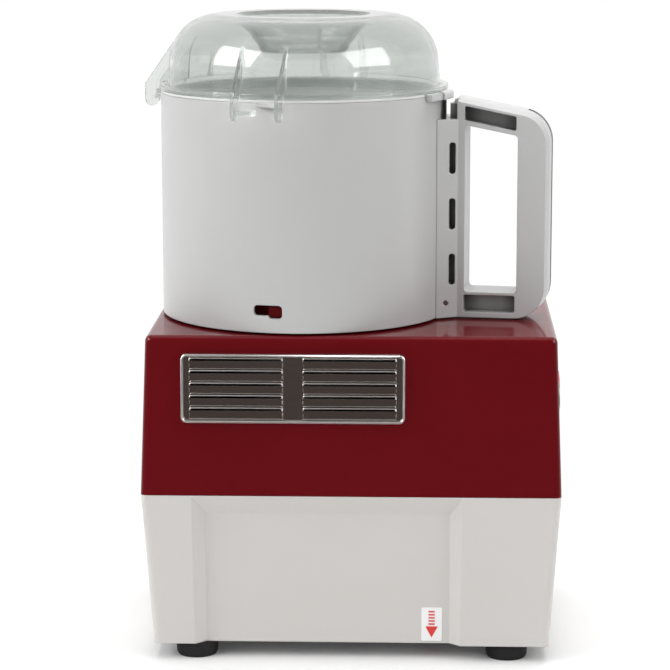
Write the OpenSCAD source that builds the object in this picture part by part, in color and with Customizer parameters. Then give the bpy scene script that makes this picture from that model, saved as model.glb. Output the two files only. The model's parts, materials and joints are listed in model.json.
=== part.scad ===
// Commercial food processor: a motor base with a cutter bowl, lid and blades.
// X runs along the base towards the control end, Y across it, Z up from the surface it stands on.
// Angles around the bowl axis are counted from -Y towards +X, as seen from above.

/* [Base] */
// Length of the base where its two housings meet
base_len = 304; // [290:1:320]
// Depth of the base where its two housings meet
base_dep = 225.8; // [215:0.2:236]
// Length of the lower housing at its bottom edge
foot_len = 289; // [275:1:300]
// Depth of the lower housing at its bottom edge
foot_dep = 210.8; // [200:0.2:220]
// Length of the motor cover at its top
top_len = 295; // [280:1:304]
// Depth of the motor cover at its top
top_dep = 216.8; // [206:0.2:225]
// Height of the lower housing's bottom edge above the surface
housing_z = 12; // [9:0.5:16]
// Height of the line where the two housings meet
parting_z = 125.5; // [115:0.5:140]
// Height of the flat top of the motor cover
cover_z = 241.9; // [230:0.1:256]
// Radius of the upright corners of the base
corner_r = 5; // [3:0.5:9]
// Radius of the motor cover's top edge
edge_r = 4.5; // [3:0.5:4.5]
// Wall of the lower housing and of the motor cover
wall = 3.5; // [2.5:0.5:4]
// Height of the lip that locates the cover on the housing
lip_h = 6; // [4:1:10]
// Thickness of the lip
lip_t = 2.5; // [2:0.5:3]

/* [Recess in the long faces] */
// Middle of the recess along the base
recess_x = -17; // [-25:1:-5]
// Width of the recess at the face
recess_w = 196; // [180:1:204]
// Width of each slanted side of the recess
recess_side = 9.2; // [6:0.2:12]
// Depth of the recess
recess_depth = 7; // [4:0.5:9]
// Height over which the recess runs out below the parting line
recess_ramp = 14; // [10:1:20]

/* [Feet and bottom] */
// Radius of a rubber foot
foot_r = 16; // [13:0.5:18]
// Distance of the feet from the middle along the base
foot_x = 114; // [108:1:118]
// Distance of the feet from the middle across the base
foot_y = 87; // [82:1:88]
// Thickness of the bottom plate
plate_t = 2; // [1.5:0.5:3]
// Height of the bottom plate above the housing's bottom edge
plate_inset = 2; // [1:0.5:3]
// Radius of the screws that hold the feet
foot_screw_r = 2.5; // [2:0.25:3]
// Width of an air slot in the bottom plate
air_slot_w = 5; // [4:0.5:6]
// Length of an air slot in the bottom plate
air_slot_len = 46; // [35:1:55]

/* [Louvred vent] */
// Middle of the vent plate along the base
vent_x = -41.3; // [-46:0.1:-36]
// Height of the middle of the vent plate
vent_z = 204.5; // [198:0.5:208]
// Width of the vent plate
vent_w = 160.5; // [150:0.5:168]
// Height of the vent plate
vent_h = 49.4; // [48:0.2:54]
// How far the vent plate stands out of the cover
vent_proud = 1.4; // [1:0.1:2]
// Plain border of the vent plate beside the louvres
louvre_margin = 6.25; // [5:0.25:8]
// Plain strip between the two columns of louvres
louvre_gap = 15; // [12:0.5:18]
// Distance from one louvre to the next
louvre_pitch = 9; // [8.6:0.1:9.2]
// How far the upper edge of a louvre is pressed in
louvre_depth = 3.2; // [2.4:0.2:3.6]
// Thickness of the vent plate's sheet
sheet_t = 0.8; // [0.6:0.1:1]

/* [Bowl seat] */
// Place of the bowl axis along the base
bowl_x = -38; // [-44:1:-32]
// Outer radius of the hub that the bowl sits on
hub_r = 94; // [90:0.5:95]
// Height of the top of the hub
hub_z = 266.7; // [264:0.1:268]
// How far the hub's locking lugs stand out
hub_lug_out = 7.5; // [5:0.5:8]
// Height of a locking lug
hub_lug_h = 8; // [6:0.5:9]
// Angle that a locking lug covers
hub_lug_deg = 14; // [10:1:16]
// Angle of the middle of the first locking lug
hub_lug_a = -5; // [-8:1:-3]
// Turn of the bowl from its release position to its locked one
bowl_turn_deg = 15; // [12:1:16]
// Number of locking lugs on the hub
hub_lugs = 3; // [3, 4]

/* [Bowl] */
// Outer radius of the bowl
bowl_r = 106.3; // [104:0.1:108]
// Wall of the bowl
bowl_wall = 3.2; // [2.4:0.2:3.6]
// Height of the lower edge of the bowl's skirt
skirt_z = 243.5; // [243:0.1:244.5]
// Height of the bowl's rim
rim_z = 408; // [398:0.5:420]
// Thickness of the bowl's floor
floor_t = 3.5; // [3:0.5:5]
// Radius between the bowl's wall and floor inside
bowl_fillet = 9; // [5:1:14]
// Outer radius of the tube in the middle of the bowl
chimney_r = 17; // [16:0.5:18]
// Inner radius of the tube in the middle of the bowl
chimney_bore_r = 13.5; // [13:0.25:14]
// Height of the tube above the bowl's floor
chimney_h = 64; // [56:1:68]
// Width of the slot in the skirt
slot_w = 21; // [18:0.5:24]
// Height of the slot in the skirt
slot_h = 9.6; // [8:0.2:11]
// Angle of the middle of the slot
slot_a = -11.6; // [-13:0.2:-10]

/* [Bowl handle] */
// Angle of the handle around the bowl axis
handle_a = 82; // [78:1:86]
// Thickness of the handle's spine, arms and grip
handle_t = 32; // [28:1:36]
// Distance of the grip's outer edge from the bowl axis
grip_out = 185.5; // [180:0.5:188]
// Distance of the grip's inner edge from the bowl axis
grip_in = 161.7; // [156:0.1:164]
// Distance of the spine's outer edge from the bowl axis
spine_out = 123; // [121:0.5:130]
// Distance of the spine's inner edge from the bowl axis
spine_in = 117; // [115:0.5:118]
// Height of the handle's bottom edge
handle_z = 243.2; // [242.6:0.1:245]
// Height of the lower edge of the finger opening
window_z = 262.1; // [260:0.1:268]
// Height of the upper edge of the finger opening at the spine
window_top = 385.8; // [378:0.1:388]
// Fall of the top arm from the spine to the grip
arm_fall = 7.4; // [5:0.1:9]
// Radius of the grip's upper corner
corner_top_r = 24; // [18:1:26]
// Radius of the grip's lower corner
corner_low_r = 26; // [14:1:28]
// Height of the top of the bracket against the bowl
bracket_z = 390; // [384:0.5:394]
// Depth of the hollows in the arms
hollow_depth = 13; // [9:0.5:14]
// How far the middle of the handle's outer edge stands out past its sides
crown = 3.4; // [1:0.2:4]

/* [Lid interlock rod] */
// Radius of the rod
rod_r = 1.6; // [1.4:0.1:1.8]
// Travel of the rod when the lid is turned
rod_travel = 3.5; // [2.5:0.25:3.5]
// Turn of the lid from its release position to its locked one
lid_turn_deg = 7; // [5:0.5:7]

/* [Lid] */
// Outer radius of the lid's flange
flange_r = 107.2; // [106.5:0.1:109]
// Height of the underside of the flange
flange_z = 410; // [400:0.5:422]
// Thickness of the flange
flange_t = 3.6; // [3:0.1:5]
// Wall of the dome
dome_wall = 3; // [2.4:0.2:3.4]
// Radius of the dome where its shoulder begins
dome_r = 100; // [97:0.5:100.5]
// Height of the dome's straight wall above the flange's underside
dome_straight = 19; // [14:1:22]
// Radius of the dome's shoulder
shoulder_r = 36; // [32:1:40]
// Draft of the straight wall, as a step in radius
dome_draft = 2; // [1:0.1:2.5]
// Radius of the top of the funnel in the dome
funnel_top_r = 50; // [46:0.5:52]
// Radius of the funnel's middle
funnel_mid_r = 37; // [34:0.5:40]
// Radius of the funnel's bottom
funnel_low_r = 29; // [26:0.5:31]
// Depth of the funnel's upper slope
funnel_slope_h = 13; // [10:0.5:15]
// Depth of the whole funnel
funnel_h = 24; // [20:0.5:28]
// Radius of the filling hole at the bottom of the funnel
fill_r = 20; // [15:0.5:22]
// Thickness of a fin of the lid's clips
fin_t = 2.6; // [2:0.1:3]
// Distance between the two parallel fins of a clip and its middle
clip_half_w = 16.4; // [16:0.1:17.5]
// Angle of the middle of the front clip
clip_a = -14.4; // [-17:0.1:-12]
// Distance of the outer end of a clip from the bowl axis
clip_out_r = 119.4; // [117:0.1:120.5]

/* [Motor] */
// Radius of the stator core
stator_r = 62; // [56:1:66]
// Height of the stator core
stator_h = 70; // [60:1:80]
// Height of the underside of the stator core
stator_z = 115; // [108:1:120]
// Radius of the rotor core
rotor_r = 34; // [30:1:36]
// Gap between rotor and stator
air_gap = 0.5; // [0.4:0.1:0.8]
// Radius of the rotor shaft
shaft_r = 8; // [7.5:0.25:8.5]
// Outer radius of the bearings
bearing_r = 20; // [18:0.5:21]
// Width of the bearings
bearing_h = 12; // [10:1:14]
// Radius of the cooling fan
fan_r = 52; // [46:1:55]

/* [Blades] */
// Radius that the blade tips sweep
blade_r = 98; // [92:0.5:99]
// Thickness of a blade
blade_t = 2; // [1.5:0.1:2.5]
// Height of the lower blade above the bowl's floor
blade_low = 4; // [3:0.5:6]
// Distance from the lower blade to the upper one
blade_step = 26; // [18:1:34]
// Outer radius of the blade hub
blade_hub_r = 25; // [23.5:0.5:28]

/* [Controls] */
// Height of the middle of the control panel
panel_z = 186; // [176:1:196]
// Width of the control panel
panel_w = 136; // [126:1:150]
// Height of the control panel
panel_h = 50; // [44:1:56]
// Radius of a push button
button_r = 11; // [9:0.5:12]
// Distance from one button to the next
button_pitch = 42; // [36:1:46]
// Travel of a push button
button_travel = 3; // [2:0.25:4]

/* [Hidden] */

burgundy = [0.40, 0.05, 0.08];
warm_grey = [0.80, 0.79, 0.77];
bowl_grey = [0.76, 0.76, 0.76];
clear_tint = [0.80, 0.84, 0.83, 0.4];
bright_steel = [0.72, 0.72, 0.73];
dark_steel = [0.35, 0.35, 0.37];
cast_alloy = [0.62, 0.63, 0.65];
copper = [0.72, 0.42, 0.22];
black_rubber = [0.07, 0.07, 0.07];
black_plastic = [0.12, 0.12, 0.13];
board_green = [0.10, 0.32, 0.18];

quarter_turn = 90;
half_turn = 180;
full_turn = 360;
fine = 128;
medium = 64;
coarse = 32;
over = 1;
fit = 0.05;
running = 0.04;
seat = 0.3;
gap = 0.5;

cover_h = cover_z - parting_z;
cover_tilt_x = atan((base_len - top_len) / 2 / cover_h);
cover_tilt_y = atan((base_dep - top_dep) / 2 / cover_h);
housing_h = parting_z - housing_z;
housing_tilt_x = atan((base_len - foot_len) / 2 / housing_h);
housing_tilt_y = atan((base_dep - foot_dep) / 2 / housing_h);

plate_z = housing_z + plate_inset;
plate_top = plate_z + plate_t;
post_r = 9;
post_h = 26;
post_rib_t = 4;
case_post_x = base_len / 2 - 18;
case_post_y = 60;
case_post_r = 7;
case_post_h = 24;
cover_post_h = 22;
case_screw_r = 2;
case_head_r = 4;
case_head_h = 3;
foot_head_r = 5;
foot_head_h = 4;
foot_spigot_r = 9;
foot_round = 2;
foot_draft = 1;
air_rows = 7;
air_pitch = 11;

frame_w = 3;
louvre_w = (vent_w - louvre_gap) / 2 - louvre_margin;
vent_corner_r = 4;
vent_bevel = 0.9;
louvre_rows = 5;
louvre_top = 3.2;
louvre_slot = 1.4;
vent_back = 1.5;

hub_wall = 4;
hub_bore_r = 10.5;
hub_collar_r = 12;
hub_collar_h = 8;
hub_lug_z = hub_z - hub_lug_h - 4.7;
hub_post_r = 7;
hub_post_at_r = 72;
hub_post_n = 4;

floor_z = hub_z + seat;
floor_top = floor_z + floor_t;
bowl_in_r = bowl_r - bowl_wall;
lock_ledge_h = 6;
lock_ledge_gap = 1;
lock_ledge_z = hub_lug_z - lock_ledge_gap - lock_ledge_h;
lock_ledge_in = 2.8;
lock_side_gap_deg = 1.5;
lock_ledge_deg = bowl_turn_deg - lock_side_gap_deg;
chimney_top = floor_top + chimney_h;

flange_h = 8;
flange_plate_r = 84;
flange_drop = 42.7;
flange_z0 = hub_z - flange_drop;
bell_wall = 5;
bearing_wall = 6;
bearing_lip = 4;
upper_bearing_z = flange_z0 - 2;
stator_top = stator_z + stator_h;
bell_drop = 30;
lower_bell_z = stator_z - bell_drop - flange_h;
lower_bearing_z = lower_bell_z + bearing_lip;
ear_r = 6;
bolt_r = 2.5;
bolt_at_r = stator_r + 4;
bolt_head_h = 4;
bolt_head_r = 4.5;
winding_w = 14;
winding_h = 20;
fan_h = 12;
fan_hub_r = 15;
fan_blade_t = 1.6;
fan_blades = 9;
fan_gap = 3;
fan_z = lower_bell_z - bolt_head_h - fan_gap - fan_h;
shaft_low = fan_z - 4;
shaft_top = chimney_top + 16;
drive_len = 14;
drive_r = shaft_r - 1;
drive_flat = 1.5;
drive_fit = 0.1;
seal_h = 9;
seal_lip = 0.04;

bush_h = 12;
bush_rim_h = 2;
bush_rim_r = chimney_r - 0.8;
bush_clear = 0.4;
bush_z = chimney_top - bush_h;

hub_gap = 0.7;
blade_z = floor_top + blade_low;
blade_hub_z = floor_top + 1.2;
blade_hub_bore_r = chimney_r + hub_gap;
blade_roof_z = chimney_top + bush_rim_h + 1.2;
blade_cap_z = shaft_top + 1;
blade_cap_h = 16;
blade_cap_r = 17;
blade_taper = 2;
blade_spine = 19;
blade_tail = 8;
blade_shift_x = 2;
blade_shift_y = -17;

slot_z = hub_lug_z + 0.9 + slot_h / 2;
slot_step = 2;

arm_slope = atan(arm_fall / (grip_in - spine_out));
arm_top_t = 2;
arm_low_t = 3.5;
arm_h = 20.6;
handle_top_z = window_top + arm_h;
bottom_arm_t = 4;
bottom_hollow_h = 12.9;
window_r = 3;
hollow_r = 1.5;
web_x = spine_in + 5.6;
hollow_end = 1.1;
bracket_half_in = 27.6;
bracket_half_out = 16;
bracket_in = 100;
bracket_out = spine_in + 1;
top_web_in = 110.8;
top_web_t = 14;
top_web_z = 401;
top_plate_in = 114;
top_plate_w = 25;
crown_mid_w = 22;
crown_top_w = 10;
crown_mid = 1;
rim_groove_d = 2.4;
rim_groove_w = 9;
rim_groove_in = 6;
slot_along = 114;
slot_front_w = 4.4;
slot_front_h = 23.2;
slot_top_drop = 12.6;
slot_pitch = 41.2;
slot_tops = [for (i = [0 : 2]) window_top - slot_top_drop - i * slot_pitch];
chamber_rise = 18.8;
chamber_low = handle_z + chamber_rise;
chamber_top = bracket_z - 6;
screw_along = 110.2;
screw_z = handle_z + 11.3;
handle_screw_r = 2;
handle_screw_in = 18.1;
handle_screw_len = 3.4;

rod_along = 107.5;
rod_off = 16;
rod_at_r = norm([rod_along, rod_off]);
rod_a = handle_a - asin(rod_off / rod_at_r);
rod_top_z = flange_z - 0.7;
magnet_r = 2.2;
magnet_h = 4;
magnet_z = handle_z + rod_travel + 1;
rod_low_z = magnet_z + magnet_h;
collar_r = 2.2;
collar_h = 2.5;
spring_h = 34;
collar_z = chamber_low + spring_h;
spring_in_r = rod_r + 0.15;
spring_out_r = 2.3;
chamber_r = 2.4;

seal_gap = 0.2;
seal_wall_gap = 0.2;
locate_t = 3;
locate_h = 8;
locate_gap = 0.4;
dome_top = flange_z + dome_straight + shoulder_r;
shoulder_z = flange_z + dome_straight;
fin_top_z = shoulder_z + 20.5;
fin_tip_z = flange_z + 2;
lobe_r = 5.6;
lobe_z = flange_z - 9.1;
lobe_in_r = clip_out_r - 2 * lobe_r;
ledge_t = 3;
ledge_z = flange_z - 10.4;
ramp_z = ledge_z + ledge_t + 0.6;
ramp_t = rim_z - ramp_z;
ramp_out_r = bowl_r + 6;
ramp_rise = 1.4;
ledge_start_deg = -asin(clip_half_w / (clip_out_r - lobe_r));
ledge_end_deg = -1;
ramp_start_deg = -0.3;
ramp_end_deg = 7.2;
clips = 3;
clip_step = 90;
extra_fin_a = -131.5;

bar_a0 = 58.4;
bar_a1 = 79.5;
bar_in_r = bowl_r + 0.5;
bar_out_r = flange_r + 4.4;
bar_h = 5;
ear_a0 = 67.5;
ear_in_r = flange_r + fit;
ear_t = 5.8;
ear_low_z = flange_z - bar_h;
ear_high_z = flange_z + 1.2;
pocket_half = 2;
pocket_end_deg = asin(pocket_half / rod_at_r);
pocket_h = bar_h - 0.5;

panel_t = 1.5;
panel_corner_r = 6;
button_out = 1.6;
stop_out = 3.6;
bezel_w = 3;
bezel_out = 1.1;
button_gap = 0.3;
button_len = 12;
stem_r = 4;
stem_len = 9;
switch_w = 26;
switch_len = 34;
switch_gap = 0.5;

reset_x = 59;
reset_y = -82;
reset_r = 5;
reset_travel = 2;
reset_len = 7;
reset_body_w = 20;
reset_body_h = 28;
sticker_w = 15;
sticker_h = 25.8;
sticker_z = 26.8;
sticker_t = 0.3;
arrow_w = 9;
arrow_h = 20.6;
arrow_head_h = 8.6;
arrow_shaft_w = 4.6;
arrow_t = 0.2;
arrow_bars = 5;
arrow_bar_t = 1.1;

capacitor_r = 22;
capacitor_h = 92;
capacitor_at = [base_len / 2 - 54, -42];
strap_t = 1.5;
strap_h = 14;
board_w = 74;
board_d = 88;
board_t = 1.8;
board_at = [base_len / 2 - 58, 31];
board_z = plate_top + 14;
relay_w = 16;
relay_d = 28;
relay_h = 20;
standoff_r = 3.5;
terminal_at = [30 - base_len / 2, 40];
terminal_w = 18;
terminal_d = 50;
terminal_h = 20;
gland_y = 66;
gland_z = 44;
gland_r = 11;
gland_bore_r = 4.4;
gland_out = 10;
gland_nut = 6;
sensor_w = 14;
sensor_d = 24;
sensor_h = 9;

function unit(v) = v / norm(v);
function half_len_at(z) = z < parting_z
    ? (foot_len + (base_len - foot_len) * (z - housing_z) / housing_h) / 2
    : (base_len - (base_len - top_len) * (z - parting_z) / cover_h) / 2;
function half_dep_at(z) = z < parting_z
    ? (foot_dep + (base_dep - foot_dep) * (z - housing_z) / housing_h) / 2
    : (base_dep - (base_dep - top_dep) * (z - parting_z) / cover_h) / 2;
function half_sine(a, p, b) = sqrt((1 - unit(a - p) * unit(b - p)) / 2);
function corner_centre(a, p, b, r) = p + unit(unit(a - p) + unit(b - p)) * r / half_sine(a, p, b);
function corner_tangent(a, p, b, r) =
    p + unit(a - p) * r * sqrt(1 - pow(half_sine(a, p, b), 2)) / half_sine(a, p, b);

// A convex outline with each corner rounded by its own radius
module rounded(points, radii) {
    n = len(points);
    polygon([for (i = [0 : n - 1])
        let (a = points[(i + n - 1) % n], p = points[i], b = points[(i + 1) % n])
        each [corner_tangent(a, p, b, radii[i]), corner_tangent(b, p, a, radii[i])]]);
    for (i = [0 : n - 1])
        translate(corner_centre(points[(i + n - 1) % n], points[i], points[(i + 1) % n], radii[i]))
            circle(r = radii[i], $fn = medium);
}

module rounded_box_2d(w, h, r) {
    rounded([[-w / 2, -h / 2], [w / 2, -h / 2], [w / 2, h / 2], [-w / 2, h / 2]], [r, r, r, r]);
}

// Children are placed with +X pointing away from the bowl axis at angle a
module around(a) {
    translate([bowl_x, 0, 0]) rotate([0, 0, a - quarter_turn]) children();
}

module at_axis(z) {
    translate([bowl_x, 0, z]) children();
}

// Part of a ring round the bowl axis, from angle a0 to a1
module ring_part(r0, r1, z0, z1, a0, a1) {
    around(a0) rotate_extrude(angle = a1 - a0, $fn = fine) translate([r0, z0]) square([r1 - r0, z1 - z0]);
}

module tube(r0, r1, h) {
    difference() {
        cylinder(h = h, r = r1, $fn = fine);
        translate([0, 0, -over]) cylinder(h = h + 2 * over, r = r0, $fn = fine);
    }
}

module at_corners(x, y) {
    for (sx = [-1, 1], sy = [-1, 1])
        translate([sx * x, sy * y, 0]) children();
}

// Block that follows the taper of the base between two heights, smaller than it by inset
module tapered_block(z0, z1, inset) {
    hull() {
        at_corners(half_len_at(z0) - corner_r, half_dep_at(z0) - corner_r)
            translate([0, 0, z0]) cylinder(h = fit, r = corner_r - inset, $fn = coarse);
        at_corners(half_len_at(z1 - fit) - corner_r, half_dep_at(z1 - fit) - corner_r)
            translate([0, 0, z1 - fit]) cylinder(h = fit, r = corner_r - inset, $fn = coarse);
    }
}

module inner_block(z0, z1, inset) {
    hull() {
        at_corners(half_len_at(z0) - inset, half_dep_at(z0) - inset)
            translate([0, 0, z0]) cylinder(h = fit, r = over, $fn = coarse);
        at_corners(half_len_at(z1) - inset, half_dep_at(z1) - inset)
            translate([0, 0, z1]) cylinder(h = fit, r = over, $fn = coarse);
    }
}

// One slice of the recess: a trapezoid from outside the face in to its depth
module recess_slice(z, depth, side, grow) {
    translate([recess_x, -half_dep_at(z), z])
        linear_extrude(height = fit) polygon([
            [-recess_w / 2 - grow - recess_side, -recess_side],
            [recess_w / 2 + grow + recess_side, -recess_side],
            [recess_w / 2 + grow - side, depth],
            [-recess_w / 2 - grow + side, depth]]);
}

module recess(grow) {
    hull() {
        recess_slice(housing_z - over, recess_depth + grow, recess_side, grow);
        recess_slice(parting_z - recess_ramp, recess_depth + grow, recess_side, grow);
        recess_slice(parting_z - over + grow, 0, 0, grow);
    }
}

module lower_housing() {
    color(warm_grey) difference() {
        union() {
            difference() {
                tapered_block(housing_z, parting_z, 0);
                difference() {
                    inner_block(housing_z - over, parting_z + over, wall + over);
                    recess(wall);
                    mirror([0, 1, 0]) recess(wall);
                }
            }
            foot_posts();
            case_posts(parting_z - case_post_h, parting_z, half_len_at(parting_z - case_post_h) - over);
            housing_rim();
        }
        recess(0);
        mirror([0, 1, 0]) recess(0);
        at_corners(foot_x, foot_y) translate([0, 0, housing_z - over])
            cylinder(h = post_h, r = foot_screw_r + running, $fn = coarse);
        at_corners(case_post_x, case_post_y) translate([0, 0, parting_z - case_post_h - over])
            cylinder(h = case_post_h + 2 * over, r = case_screw_r + running, $fn = coarse);
        translate([-half_len_at(gland_z), gland_y, gland_z]) rotate([0, -housing_tilt_x, 0])
            rotate([0, quarter_turn, 0])
                cylinder(h = gland_out, r = gland_r - gland_nut / 2 + fit, center = true, $fn = medium);
    }
}

module foot_posts() {
    intersection() {
        tapered_block(housing_z, parting_z, over);
        for (sx = [-1, 1], sy = [-1, 1]) translate([sx * foot_x, sy * foot_y, plate_top]) {
            cylinder(h = post_h, r = post_r, $fn = medium);
            translate([-post_rib_t / 2, sy < 0 ? -base_dep : 0, 0]) cube([post_rib_t, base_dep, post_h]);
        }
    }
}

module case_posts(z0, z1, reach) {
    for (sx = [-1, 1], sy = [-1, 1]) {
        translate([sx * case_post_x, sy * case_post_y, z0])
            cylinder(h = z1 - z0, r = case_post_r, $fn = medium);
        translate([sx < 0 ? -reach : case_post_x, sy * case_post_y - post_rib_t / 2, z0])
            cube([reach - case_post_x, post_rib_t, z1 - z0]);
    }
}

// Shelf and upstanding lip that the motor cover drops over
module housing_rim() {
    lip_inset = wall + gap + over;
    difference() {
        union() {
            translate([0, 0, parting_z - wall]) linear_extrude(height = wall)
                rounded_box_2d(base_len - 2 * over, base_dep - 2 * over, corner_r - over);
            translate([0, 0, parting_z - wall]) linear_extrude(height = wall + lip_h)
                rounded_box_2d(base_len - 2 * lip_inset, base_dep - 2 * lip_inset, over);
        }
        translate([0, 0, parting_z - wall - over]) linear_extrude(height = wall + lip_h + 2 * over)
            rounded_box_2d(base_len - 2 * (lip_inset + lip_t), base_dep - 2 * (lip_inset + lip_t), over);
    }
}

module cover_skin() {
    hull() {
        at_corners(half_len_at(parting_z) - corner_r, half_dep_at(parting_z) - corner_r)
            translate([0, 0, parting_z]) cylinder(h = fit, r = corner_r, $fn = coarse);
        at_corners(half_len_at(cover_z - edge_r) - edge_r / cos(cover_tilt_x),
            half_dep_at(cover_z - edge_r) - edge_r / cos(cover_tilt_y))
                translate([0, 0, cover_z - edge_r]) sphere(r = edge_r, $fn = coarse);
    }
}

module motor_cover() {
    color(burgundy) difference() {
        union() {
            difference() {
                cover_skin();
                inner_block(parting_z - over, cover_z - wall - fit, wall + over);
            }
            case_posts(parting_z + lip_h, parting_z + lip_h + cover_post_h,
                half_len_at(parting_z + lip_h + cover_post_h) - over);
        }
        at_axis(cover_z - 2 * wall) cylinder(h = hub_z - cover_z, r = hub_r - hub_wall, $fn = fine);
        vent_opening();
        button_openings();
        at_corners(case_post_x, case_post_y) translate([0, 0, parting_z])
            cylinder(h = lip_h + cover_post_h - wall, r = case_screw_r + running, $fn = coarse);
    }
}

// Raised seat on the cover's top, which the bowl drops over and locks on
module bowl_seat() {
    color(burgundy) difference() {
        union() {
            difference() {
                union() {
                    at_axis(cover_z) cylinder(h = hub_z - cover_z, r = hub_r, $fn = fine);
                    at_axis(cover_z - wall)
                        cylinder(h = wall + over, r = hub_r - hub_wall - running, $fn = fine);
                    hub_locks();
                }
                at_axis(cover_z - wall - over)
                    cylinder(h = hub_z - hub_wall - cover_z + wall + over, r = hub_r - 2 * hub_wall, $fn = fine);
            }
            at_axis(hub_z - hub_wall) cylinder(h = hub_wall + hub_collar_h, r = hub_collar_r, $fn = medium);
            hub_posts() cylinder(h = hub_z - flange_z0 - flange_h - over, r = hub_post_r, $fn = medium);
        }
        at_axis(cover_z) cylinder(h = hub_z - cover_z + hub_collar_h + over, r = hub_bore_r, $fn = medium);
        hub_posts() translate([0, 0, -over]) cylinder(h = post_h, r = case_screw_r + running, $fn = coarse);
    }
}

module hub_locks() {
    for (i = [0 : hub_lugs - 1])
        ring_part(hub_r - over, hub_r + hub_lug_out, hub_lug_z, hub_lug_z + hub_lug_h,
            hub_lug_a - hub_lug_deg / 2 + i * full_turn / hub_lugs,
            hub_lug_a + hub_lug_deg / 2 + i * full_turn / hub_lugs);
}

module hub_posts() {
    for (i = [0 : hub_post_n - 1]) around((i + 1 / 2) * full_turn / hub_post_n)
        translate([hub_post_at_r, 0, flange_z0 + flange_h]) children();
}

// Children are placed on the cover's front face, with -Y pointing out of it
module on_vent_face() {
    translate([vent_x, -half_dep_at(vent_z), vent_z]) rotate([-cover_tilt_y, 0, 0]) children();
}

module vent_opening() {
    on_vent_face() cube([vent_w - 2 * frame_w - 2 * over, base_dep / 4, vent_h - 2 * frame_w], center = true);
}

module vent_louvres() {
    field_w = 2 * louvre_w + louvre_gap;
    color(bright_steel) on_vent_face() {
        difference() {
            union() {
                translate([0, -vent_proud + vent_bevel, 0]) rotate([quarter_turn, 0, 0])
                    linear_extrude(height = vent_bevel)
                        rounded_box_2d(vent_w - 2 * vent_bevel, vent_h - 2 * vent_bevel, vent_corner_r);
                rotate([quarter_turn, 0, 0]) linear_extrude(height = vent_proud - vent_bevel / 2)
                    rounded_box_2d(vent_w, vent_h, vent_corner_r);
            }
            translate([0, sheet_t - vent_proud, 0]) rotate([-quarter_turn, 0, 0])
                linear_extrude(height = vent_proud)
                    rounded_box_2d(vent_w - frame_w, vent_h - frame_w, vent_corner_r);
            for (side = [-1, 1], row = [0 : louvre_rows - 1])
                translate([side * (louvre_w + louvre_gap) / 2, 0, louvre_height(row)])
                    louvre_window();
        }
        for (side = [-1, 1], row = [0 : louvre_rows - 1])
            translate([side * (louvre_w + louvre_gap) / 2, -vent_proud, louvre_height(row)])
                louvre_panel();
        difference() {
            translate([-field_w / 2 - sheet_t, -vent_proud + sheet_t / 2, -vent_h / 2 + frame_w])
                cube([field_w + 2 * sheet_t, louvre_depth + sheet_t, vent_h - 2 * frame_w - sheet_t]);
            for (side = [-1, 1]) translate([side * (louvre_w + louvre_gap) / 2, 0, 0])
                cube([louvre_w, base_dep / 4, vent_h], center = true);
            cube([louvre_gap - 2 * sheet_t, base_dep / 4, vent_h], center = true);
        }
    }
}

// Height of the upper edge of a louvre above the middle of the plate
function louvre_height(row) = vent_h / 2 - louvre_top - row * louvre_pitch;

module louvre_window() {
    translate([-louvre_w / 2, -louvre_depth, sheet_t - louvre_pitch])
        cube([louvre_w, 2 * louvre_depth, louvre_pitch - sheet_t]);
}

// Panel pressed in at its upper edge, which leaves a slot under the edge of the sheet
module louvre_panel() {
    low = sheet_t - louvre_pitch;
    translate([louvre_w / 2 + sheet_t / 2, 0, 0]) rotate([quarter_turn, 0, -quarter_turn])
        linear_extrude(height = louvre_w + sheet_t) polygon([
            [0, low - sheet_t / 2],
            [sheet_t, low - sheet_t / 2],
            [louvre_depth, -louvre_slot],
            [louvre_depth - sheet_t, -louvre_slot],
            [0, low]]);
}

module housing_plan(z, inset) {
    difference() {
        rounded_box_2d(2 * half_len_at(z) - 2 * inset, 2 * half_dep_at(z) - 2 * inset, over);
        for (side = [0, 1]) mirror([0, side]) translate([recess_x, -half_dep_at(z)]) polygon([
            [-recess_w / 2 - inset, -over],
            [recess_w / 2 + inset, -over],
            [recess_w / 2 + inset - recess_side, recess_depth + inset],
            [-recess_w / 2 - inset + recess_side, recess_depth + inset]]);
    }
}

module bottom_plate() {
    color(bright_steel) difference() {
        translate([0, 0, plate_z]) linear_extrude(height = plate_t) housing_plan(plate_z, wall + 2 * gap);
        at_corners(foot_x, foot_y) translate([0, 0, plate_z - over])
            cylinder(h = plate_t + 2 * over, r = foot_screw_r + running, $fn = coarse);
        for (i = [0 : air_rows - 1])
            translate([bowl_x + (i - (air_rows - 1) / 2) * air_pitch, 0, plate_z - over])
                linear_extrude(height = plate_t + 2 * over)
                    rounded_box_2d(air_slot_w, air_slot_len, air_slot_w / 2 - fit);
        translate([reset_x, reset_y, plate_z - over])
            cylinder(h = plate_t + 2 * over, r = reset_r + button_gap, $fn = medium);
    }
}

module rubber_feet() {
    color(black_rubber) at_corners(foot_x, foot_y) difference() {
        union() {
            cylinder(h = foot_round, r1 = foot_r - foot_round, r2 = foot_r - foot_draft, $fn = medium);
            translate([0, 0, foot_round])
                cylinder(h = housing_z - foot_round, r1 = foot_r - foot_draft, r2 = foot_r, $fn = medium);
            cylinder(h = plate_z, r = foot_spigot_r, $fn = medium);
        }
        translate([0, 0, -over]) cylinder(h = foot_head_h + foot_round + over, r = foot_head_r + seat, $fn = medium);
        translate([0, 0, -over]) cylinder(h = plate_z + 2 * over, r = foot_screw_r + running, $fn = coarse);
    }
}

module foot_screws() {
    color(bright_steel) at_corners(foot_x, foot_y) {
        translate([0, 0, foot_round]) cylinder(h = foot_head_h, r = foot_head_r, $fn = medium);
        translate([0, 0, foot_round + foot_head_h])
            cylinder(h = post_h, r = foot_screw_r, $fn = coarse);
    }
}

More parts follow.
